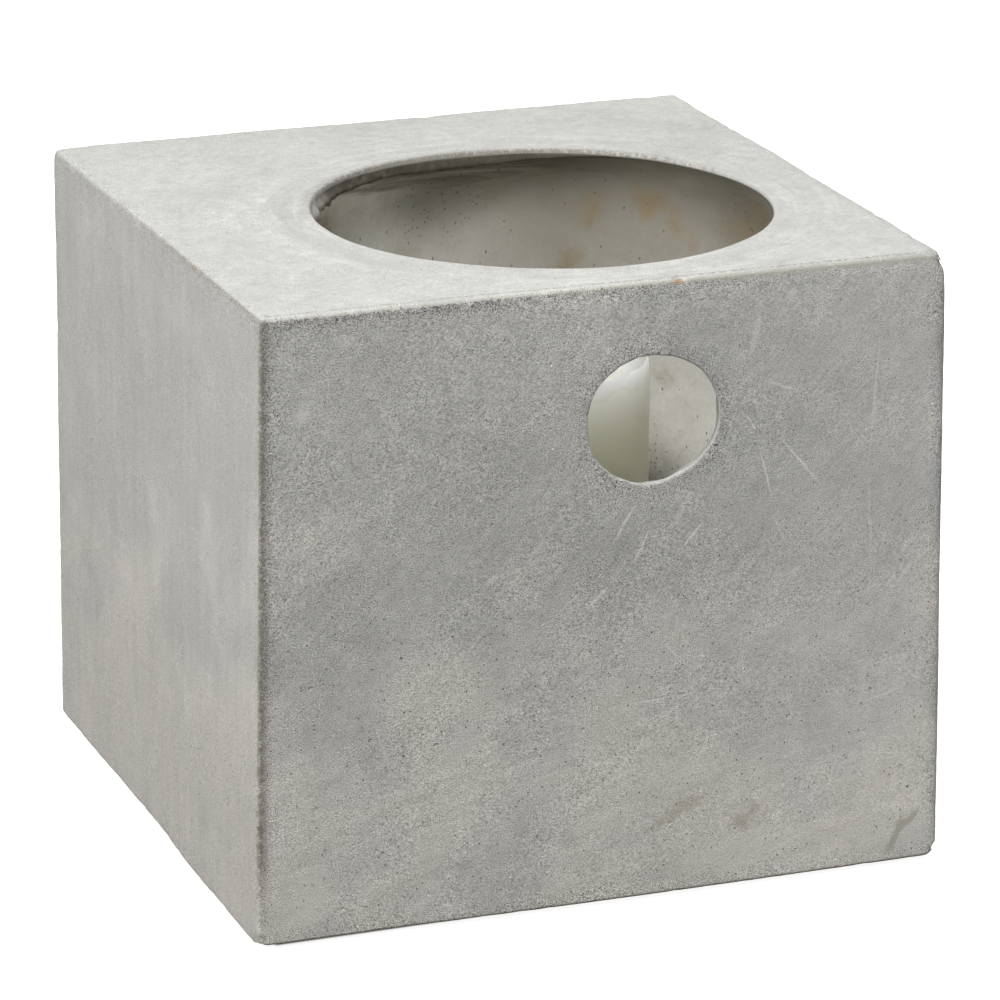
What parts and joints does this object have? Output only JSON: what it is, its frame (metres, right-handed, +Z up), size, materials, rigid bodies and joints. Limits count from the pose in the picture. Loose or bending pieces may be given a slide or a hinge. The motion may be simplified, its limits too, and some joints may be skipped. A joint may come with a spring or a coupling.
{
  "type": "candle lantern",
  "caption": "Square cast cement candle lantern with a round top opening, a round front window and a pillar candle inside.",
  "frame": {"origin": "on the ground, under the centre of the block's square foot", "axes": "+Z up; -Y is the front, the face with the round window; +X is to the right seen from the front"},
  "size_m": [0.3, 0.3, 0.266],
  "materials": {
    "cement": "matte",
    "floor_cement": "matte",
    "felt": "matte",
    "wax": "satin",
    "wick": "matte",
    "tin": "satin"
  },
  "bodies": {
    "housing": {"cement_body": "cement", "floor_disc": "floor_cement", "felt_pads": "felt"},
    "candle": {"candle_wax": "wax", "candle_wick": "wick", "wick_tab": "tin"}
  },
  "joints": [
    {"name": "candle_lift", "type": "slide", "parent": "housing", "child": "candle", "axis": [0, 0, 1], "range_m": [0, 0.27]}
  ]
}
